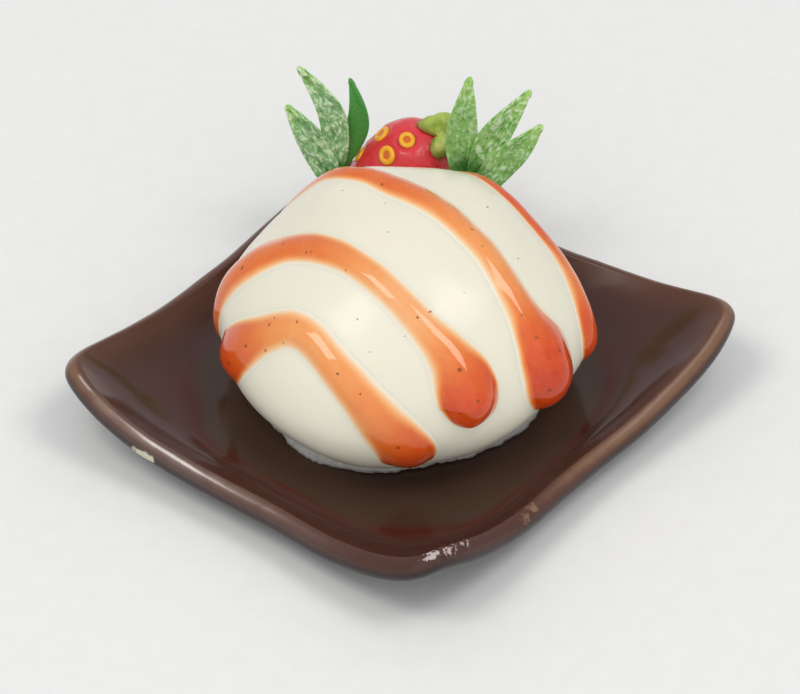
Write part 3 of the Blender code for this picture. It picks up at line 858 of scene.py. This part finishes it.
def buildSauce():
    material = sauceMaterial()
    for name, stations in sauce.items():
        finishPiece(buildStream(name, stations), material, "panna_cotta", 60.0)


buildSauce()


# ragged edge of cream spread round the foot of the dome

skirt = {
    "radius": 7.45,
    "widening": 0.25,
    "unevenness": 0.16,
    "height": 0.75,
    "inner": 5.0,
    "back": 0.3,
    "ragged": 0.13,
    # scale and share of the tears along the edge
    "tears": ((9.0, 1.0), (24.0, 0.7), (60.0, 0.4)),
    # azimuth and how far the cream is spread or held back there
    "tongues": ((-35, 0.25), (-122, 0.3), (-88, -0.35)),
    # the outline's waves: how many, how high and where they start
    "waves": ((3, 0.6, 0.8), (7, 0.3, 0.0), (11, 0.3, 2.0)),
    # from the cream at the dome to the torn edge
    "colours": ((0.79, 0.76, 0.65), (0.80, 0.79, 0.75)),
    "torn": (6.4, 7.7),
}


def skirtEdge(azimuth):
    edge = 0.0
    for count, height, shift in skirt["waves"]:
        edge += skirt["unevenness"] * height * math.sin(count * azimuth + shift)
    for where, far in skirt["tongues"]:
        edge += far * max(0.0, math.cos(azimuth - math.radians(where))) ** 12
    return edge


def skirtPoint(place):
    # a thin ring, pressed flat: turn 0 is its outer edge, a quarter turn its top
    azimuth = math.atan2(place.y, place.x)
    turn = math.atan2(place.z, math.hypot(place.x, place.y) - 1.0)
    outward = heading(azimuth, 0.0)
    tear = sum(share * noise.noise(outward * scale) for scale, share in skirt["tears"])
    edge = skirt["radius"] + skirt["widening"] * math.cos(2 * azimuth)
    edge += skirtEdge(azimuth) + skirt["ragged"] * tear
    top = skirt["height"] + 0.4 * skirtEdge(azimuth + 1.3) + 0.12 * noise.noise(outward * 14.0)
    middle = Vector((dome["centre"].x, dome["centre"].y - skirt["back"], dome["base"] - 0.03))
    across = 0.5 * (1.0 + math.cos(turn))
    reach = skirt["inner"] + (edge - skirt["inner"]) * across ** 0.5
    height = max(0.0, math.sin(turn)) ** 0.8 * top
    return (middle + outward * reach + Vector((0.0, 0.0, height))) * mm


def skirtShare(vertex):
    place = vertex.co / mm - dome["centre"]
    return smoothStep(*skirt["torn"], math.hypot(place.x, place.y + skirt["back"]))


def skirtMaterial():
    material, start = startMaterial("spread cream")
    place = placeOn(start)
    outer = fromMesh(start, "outer")
    lumps = clouds(start, place, 0.4 * mm, 4.0, 0.6)
    colour = outer.blend(*skirt["colours"])
    seen = 1.0 - outer * (0.15 + 0.6 * lumps)
    setShader(material, {"IOR": 1.48, "Coat Roughness": 0.05},
              {"Base Color": colour, "Roughness": 0.14 + 0.1 * lumps, "Alpha": seen,
               "Normal": bump(start, lumps, 0.12 * mm)})
    return material


def buildSkirt():
    deselectAll()
    bpy.ops.mesh.primitive_torus_add(major_segments=420, minor_segments=28, major_radius=1.0,
                                     minor_radius=0.3)
    piece = justAdded("spreadEdge")
    moveVertices(piece, skirtPoint)
    storeValue(piece, "outer", skirtShare)
    faceOutwards(piece)
    finishPiece(piece, skirtMaterial(), "panna_cotta")


buildSkirt()


# strawberry with ring seeds

berry = {
    "centre": Vector((1.55, 12.75, 4.5)),
    "radius": 2.45,
    "length": 7.0,
    "tilt": math.radians(-49),
    "shoulder": 0.36,
    "segments": 144,
    "rings": 96,
    "stops": ((0.35, (0.62, 0.02, 0.03)), (0.6, (0.69, 0.04, 0.05)), (0.75, (0.73, 0.09, 0.10))),
    # painted shade: the colour that darkens the dimple round each seed
    "pitShadeColour": (0.33, 0.006, 0.014),
    # from the middle of a seed: where the dimple's floor ends, and its rim
    "dimple": (0.3, 0.85),
    "dimpleDepth": 0.13,
}
seeds = {
    # share of the berry's length, number of seeds, turn of the first
    "rows": ((0.16, 1, 198), (0.2, 1, 64), (0.2, 1, 268), (0.35, 9, 4), (0.61, 6, 40), (0.85, 3, 20)),
    "radius": 0.375,
    "wire": 0.185,
    "colours": ((0.86, 0.46, 0.012), (0.80, 0.31, 0.006)),
    "middle": (0.62, 0.12, 0.006),
}


def berryReach(share):
    shoulder = berry["shoulder"]
    if share < shoulder:
        return berry["radius"] * math.sqrt(max(0.0, 1.0 - ((shoulder - share) / shoulder) ** 2.3))
    return berry["radius"] * max(0.0, 1.0 - ((share - shoulder) / (1.0 - shoulder)) ** 2) ** 0.62


def berryPoint(share, azimuth):
    # a point of the skin: share runs from the calyx's end, 0, to the tip, 1
    reach = berryReach(share)
    return Vector((reach * math.cos(azimuth), reach * math.sin(azimuth), berry["length"] * (0.5 - share)))


def berryNormal(share, azimuth):
    slope = (berryReach(share + 0.01) - berryReach(share - 0.01)) / (0.02 * berry["length"])
    return Vector((math.cos(azimuth), math.sin(azimuth), slope)).normalized()


def berryPlace():
    lie = Matrix.Rotation(-berry["tilt"], 4, "Y")
    return Matrix.Translation(berry["centre"] * mm) @ lie @ Matrix.Scale(mm, 4)


def seedSpots():
    spots = []
    for share, count, turn in seeds["rows"]:
        spots += [(share, math.radians(turn + 360.0 * i / count)) for i in range(count)]
    return spots


def berryMaterial():
    material, start = startMaterial("red berry skin")
    place = placeOn(start)
    patches = clouds(start, place, 1.6 * mm, 4.0, 0.6)
    pit = fromMesh(start, "pit")
    colour = patches.colours(*berry["stops"])
    # painted shade in the dimple round each seed
    colour = (pit * 0.7).blend(colour, berry["pitShadeColour"])
    grain = clouds(start, place, 0.22 * mm, 3.0)
    setShader(material, {"IOR": 1.5, "Subsurface Weight": 0.15, "Subsurface Radius": (1.0, 0.3, 0.25),
                         "Subsurface Scale": 0.5 * mm},
              {"Base Color": colour, "Roughness": 0.2 + 0.14 * patches,
               "Normal": bump(start, grain * 0.5 + patches, 0.05 * mm)})
    return material


def seedMaterial():
    material, start = startMaterial("yellow seed")
    place = placeOn(start)
    middle = fromMesh(start, "middle")
    grain = clouds(start, place, 0.3 * mm, 3.0)
    colour = grain.blend(*seeds["colours"])
    colour = middle.blend(colour, seeds["middle"])
    setShader(material, {"IOR": 1.5, "Subsurface Weight": 0.1, "Subsurface Radius": (1.0, 0.5, 0.1),
                         "Subsurface Scale": 0.2 * mm},
              {"Base Color": colour, "Roughness": 0.25 + 0.1 * grain})
    return material


def buildBerry():
    spots = [berryPoint(*spot) for spot in seedSpots()]
    deselectAll()
    bpy.ops.mesh.primitive_uv_sphere_add(segments=berry["segments"], ring_count=berry["rings"], radius=1.0)
    piece = justAdded("berryBody")
    pits = []

    def shape(place):
        # a dimple goes in round each seed
        share = math.acos(max(-1.0, min(1.0, place.z))) / math.pi
        share = 0.5 * share + 0.25 * (1.0 - math.cos(math.pi * share))
        azimuth = math.atan2(place.y, place.x)
        point = berryPoint(share, azimuth)
        nearest = min((point - spot).length for spot in spots)
        sink = berry["dimpleDepth"] * (1.0 - smoothStep(*berry["dimple"], nearest))
        # how far the painted shade of the dimple reaches round each seed
        pits.append(1.0 - smoothStep(0.42, 0.62, nearest))
        wave = 0.05 * noise.noise(point * 1.1) + 0.02 * noise.noise(point * 3.0)
        return point + berryNormal(min(0.985, max(0.015, share)), azimuth) * (wave - sink)

    moveVertices(piece, shape)
    storeValues(piece, "pit", pits)
    piece.data.transform(berryPlace())
    faceOutwards(piece)
    finishPiece(piece, berryMaterial(), "strawberry")


def buildSeed(share, azimuth, size):
    # a ring with a low button in its hole
    facing = berryNormal(share, azimuth)
    sit = berryPoint(share, azimuth) - facing * 0.1
    upright = facing.to_track_quat("Z", "Y").to_euler()
    deselectAll()
    bpy.ops.mesh.primitive_torus_add(major_segments=28, minor_segments=12,
                                     major_radius=seeds["radius"] * size,
                                     minor_radius=seeds["wire"] * size, location=sit, rotation=upright)
    ring = justAdded("seedRing")
    ring.scale = (1.0, 0.86, 0.7)
    storeValue(ring, "middle", lambda vertex: 1.0 - smoothStep(0.17, 0.26, vertex.co.xy.length))
    deselectAll()
    bpy.ops.mesh.primitive_uv_sphere_add(segments=20, ring_count=10, radius=seeds["radius"] * size,
                                         location=sit, rotation=upright)
    button = justAdded("seedButton")
    button.scale = (0.95, 0.8, 0.2)
    storeValue(button, "middle", lambda vertex: 1.0)
    return [ring, button]


def buildSeeds():
    random.seed(4)
    parts = []
    for share, azimuth in seedSpots():
        parts += buildSeed(share, azimuth, random.uniform(0.88, 1.06))
    piece = joinPieces(parts, "ringSeeds")
    bpy.ops.object.transform_apply(location=True, rotation=True, scale=True)
    piece.data.transform(berryPlace())
    finishPiece(piece, seedMaterial(), "strawberry")


buildBerry()
buildSeeds()


# calyx: a star of five puffed lobes over the berry's end

calyx = {
    "inner": 0.95,
    "lobe": 0.8,
    "turn": math.radians(27),
    "thickness": 0.9,
    "hollow": 0.3,
    "clearance": 0.1,
    "segments": 160,
    "rings": 40,
    # share of the reach and of the thickness there
    "rise": ((0.0, 0.7), (0.3, 0.75), (0.55, 1.0), (0.78, 1.0), (0.93, 0.8), (1.0, 0.45)),
    "stops": ((0.3, (0.19, 0.32, 0.045)), (0.5, (0.37, 0.47, 0.08)), (0.72, (0.55, 0.60, 0.18))),
}


def onSepal(azimuth):
    # 1 along the middle of each lobe, 0 between two
    return 0.5 + 0.5 * math.cos(5 * (azimuth - calyx["turn"]))


def calyxPoint(azimuth, share, lift):
    reach = (calyx["inner"] + calyx["lobe"] * onSepal(azimuth) ** 0.45) * share
    depth = berry["shoulder"] * (1.0 - math.sqrt(max(0.0, 1.0 - (reach / berry["radius"]) ** 2)))
    sag = berry["length"] * (0.5 - 0.8 * depth)
    return Vector((reach * math.cos(azimuth), reach * math.sin(azimuth), sag + lift))


def calyxMaterial():
    material, start = startMaterial("calyx green")
    place = placeOn(start)
    patches = clouds(start, place, 0.7 * mm, 4.0, 0.6)
    colour = patches.colours(*calyx["stops"])
    grain = clouds(start, place, 0.18 * mm, 3.0)
    setShader(material, {"IOR": 1.45, "Subsurface Weight": 0.15, "Subsurface Radius": (0.6, 1.0, 0.2),
                         "Subsurface Scale": 0.3 * mm},
              {"Base Color": colour, "Roughness": 0.38 + 0.15 * grain,
               "Normal": bump(start, grain, 0.06 * mm)})
    return material


def buildCalyx():
    deselectAll()
    bpy.ops.mesh.primitive_uv_sphere_add(segments=calyx["segments"], ring_count=calyx["rings"], radius=1.0)
    piece = justAdded("calyxStar")
    shares, rises = zip(*calyx["rise"])

    def shape(place):
        # upper half over, lower half under, the equator is the outer edge
        azimuth = math.atan2(place.y, place.x)
        share = math.asin(min(1.0, math.hypot(place.x, place.y))) / (0.5 * math.pi)
        lift = calyx["clearance"]
        if place.z > 0.0:
            puff = calyx["hollow"] + (1.0 - calyx["hollow"]) * onSepal(azimuth)
            puff += 0.08 * noise.noise(place * 4.0)
            lift += calyx["thickness"] * float(np.interp(share, shares, rises)) * puff
        return calyxPoint(azimuth, share, lift)

    moveVertices(piece, shape)
    piece.data.transform(berryPlace())
    faceOutwards(piece)
    finishPiece(piece, calyxMaterial(), "calyx")


buildCalyx()


# leaf sprigs: each leaf is base, tip, half width, bend and how wrinkled and how pale it is; pale sets how
# strongly its painted glints show

leaf = {
    "thickness": 0.3,
    "wave": 0.12,
    "fold": 0.16,
    "tip": 0.3,
    "wrinkle": 0.075,
    # how close the strokes of the wrinkles and of their painted glints lie, across and along
    "strokeScale": (8.5, 2.6),
    "lengthSteps": 96,
    "widthSteps": 30,
    "stops": ((0.3, (0.17, 0.41, 0.09)), (0.55, (0.26, 0.52, 0.14)), (0.75, (0.34, 0.58, 0.19))),
    # painted light: a blue cast thrown back onto the left sprig from its surroundings
    "cool": (0.27, 0.50, 0.30),
    "tipColour": (0.36, 0.58, 0.13),
    # plain dark green of the third left leaf: partly its own colour, partly painted shade where it lies
    # behind the berry
    "plainAndShaded": (0.065, 0.29, 0.05),
    # painted highlight: the pale strokes along the wrinkles' ridges stand for glints of light
    "stroke": (0.65, 0.81, 0.54),
    # painted shade in the creases of the wrinkles
    "crease": (0.06, 0.22, 0.035),
    "shade": (0.045, 0.17, 0.02),
    # middle and radius of the shaded spot low on the right sprig
    "shaded": ((4.95 * mm, 10.2 * mm, 6.6 * mm), 1.6 * mm),
}
leafLayers = ("stroke", "tipShare", "pale", "cool")
stem = {
    "radius": 0.5,
    # share of the length and of the radius there
    "swell": ((0.0, 1.25), (0.3, 1.0), (0.75, 0.95), (1.0, 0.55)),
    "segments": 32,
    "rings": 48,
}
sprigs = {
    "leaves_left": {
        "stem": ((-2.3, 11.4, 1.75), (-1.95, 12.85, 5.2)),
        "leaves": (
            ((-1.95, 12.85, 4.7), (-4.2, 13.85, 9.1), 0.8, 0.15, 1.0, 0.9),
            ((-1.75, 13.05, 4.9), (-3.5, 14.25, 11.4), 0.76, 0.85, 1.0, 1.0),
            ((-1.8, 13.3, 4.8), (-0.65, 14.8, 9.8), 0.66, 0.85, 0.15, 0.0),
        ),
    },
    "leaves_right": {
        "stem": ((5.3, 9.3, 1.75), (5.4, 10.1, 6.3)),
        "leaves": (
            ((5.0, 10.35, 5.8), (5.3, 11.4, 12.2), 0.88, -0.35, 0.8, 0.6),
            ((5.5, 10.15, 5.7), (8.45, 10.7, 11.5), 0.86, -0.5, 1.0, 0.8),
            ((5.7, 10.0, 5.6), (9.0, 10.1, 9.5), 0.86, -0.1, 0.9, 0.7),
        ),
    },
}


def leafOutline(share):
    swell = math.sin(math.pi * (0.18 + 0.82 * share) ** 0.9)
    return max(leaf["tip"], max(0.0, swell) ** 0.7)


def buildLeaf(base, tip, half, bend, wrinkled, pale):
    base, tip = Vector(base), Vector(tip)
    along = (tip - base).normalized()
    towards = Vector((0.0, -1.0, 0.35))
    facing = (towards - along * along.dot(towards)).normalized()
    across = along.cross(facing)
    length = (tip - base).length
    closeAcross, closeAlong = leaf["strokeScale"]
    deselectAll()
    bpy.ops.mesh.primitive_uv_sphere_add(segments=2 * leaf["widthSteps"], ring_count=leaf["lengthSteps"],
                                         radius=1.0)
    piece = justAdded("leafBlade")
    strokes, tipShares = [], []

    def shape(place):
        # the ball is flattened into a blade from pole to pole, its front half turned to the viewer
        share = 0.5 - 0.5 * place.z
        level = math.hypot(place.x, place.y)
        aside, front = (place.x / level, place.y / level) if level > 1e-6 else (0.0, 0.0)
        reach = half * leafOutline(share) * min(1.0, level / 0.45)
        spot = Vector((aside * reach * closeAcross, share * length * closeAlong, tip.x))
        stroke = noise.noise(spot + Vector((2.0 * noise.noise(spot * 0.6), 0.0, 0.0)))
        stroke += 0.5 * noise.noise(spot * 2.1)
        strokes.append(stroke * wrinkled)
        tipShares.append(share)
        ripple = leaf["wave"] * aside * math.sin(9.0 * share + 2.0 * aside)
        body = 0.5 * leaf["thickness"] * math.copysign(abs(front) ** 0.5, front) * min(1.0, level / 0.3)
        crease = leaf["wrinkle"] * wrinkled * stroke * front
        rise = leaf["fold"] * abs(aside) * reach + ripple + body + crease
        middle = base.lerp(tip, share) + across * bend * math.sin(math.pi * share)
        return (middle + across * reach * aside + facing * rise) * mm

    moveVertices(piece, shape)
    storeValues(piece, "stroke", strokes)
    storeValues(piece, "tipShare", tipShares)
    storeValue(piece, "pale", lambda vertex: pale)
    storeValue(piece, "cool", lambda vertex: 1.0 if tip.x < 0.0 else 0.0)    # the left sprig
    faceOutwards(piece)
    return piece


def buildStem(foot, head):
    foot, head = Vector(foot), Vector(head)
    deselectAll()
    bpy.ops.mesh.primitive_uv_sphere_add(segments=stem["segments"], ring_count=stem["rings"], radius=1.0)
    piece = justAdded("stemRod")
    shares, widths = zip(*stem["swell"])

    def shape(place):
        share = 0.5 + 0.5 * place.z
        level = math.hypot(place.x, place.y)
        around = math.atan2(place.y, place.x)
        thick = stem["radius"] * float(np.interp(share, shares, widths)) * min(1.0, level / 0.35) ** 0.5
        thick *= 1.0 + 0.08 * noise.noise(Vector((math.cos(around), math.sin(around), share * 6.0)))
        return (foot.lerp(head, share) + heading(around, 0.0) * thick) * mm

    moveVertices(piece, shape)
    for name in leafLayers:
        storeValue(piece, name, lambda vertex: 0.0)
    faceOutwards(piece)
    return piece


def leafMaterial():
    material, start = startMaterial("leaf green")
    place = placeOn(start)
    stroke, tipShare, pale, cool = (fromMesh(start, name) for name in leafLayers)
    patches = clouds(start, place, 1.3 * mm, 4.0, 0.6)
    fine = clouds(start, place, 0.16 * mm, 3.0)
    green = patches.colours(*leaf["stops"])
    # painted light: the left sprig's green tinted blue
    green = (cool * 0.5).blend(green, leaf["cool"])
    green = (tipShare.between(0.65, 1.0) * 0.7).blend(green, leaf["tipColour"])
    # a leaf with little pale turns plain dark green, partly its own colour and partly painted shade
    green = (1.0 - pale.between(0.0, 0.4)).blend(green, leaf["plainAndShaded"])
    # painted highlight: pale strokes on the ridges of the wrinkles
    light = (stroke * 0.8 + (fine - 0.5) * 1.3).between(-0.1, 0.42) * pale
    colour = light.blend(green, leaf["stroke"])
    # painted shade: darker green in the creases of the wrinkles
    dark = (0.0 - stroke).between(0.15, 0.6) * (0.2 + 0.4 * pale)
    colour = dark.blend(colour, leaf["crease"])
    shaded = spotAt(start, place, *leaf["shaded"], 0.8)
    colour = (1.0 - (1.0 - shaded) * tipShare.between(0.02, 0.18)).blend(colour, leaf["shade"])
    setShader(material, {"IOR": 1.45, "Subsurface Weight": 0.12, "Subsurface Radius": (0.5, 1.0, 0.3),
                         "Subsurface Scale": 0.25 * mm},
              {"Base Color": colour, "Roughness": 0.42 + 0.18 * fine,
               "Normal": bump(start, fine, 0.05 * mm)})
    return material


def buildSprigs():
    material = leafMaterial()
    for node, sprig in sprigs.items():
        parts = [buildStem(*sprig["stem"])] + [buildLeaf(*row) for row in sprig["leaves"]]
        finishPiece(joinPieces(parts, node.replace("leaves", "sprig")), material, node)


buildSprigs()
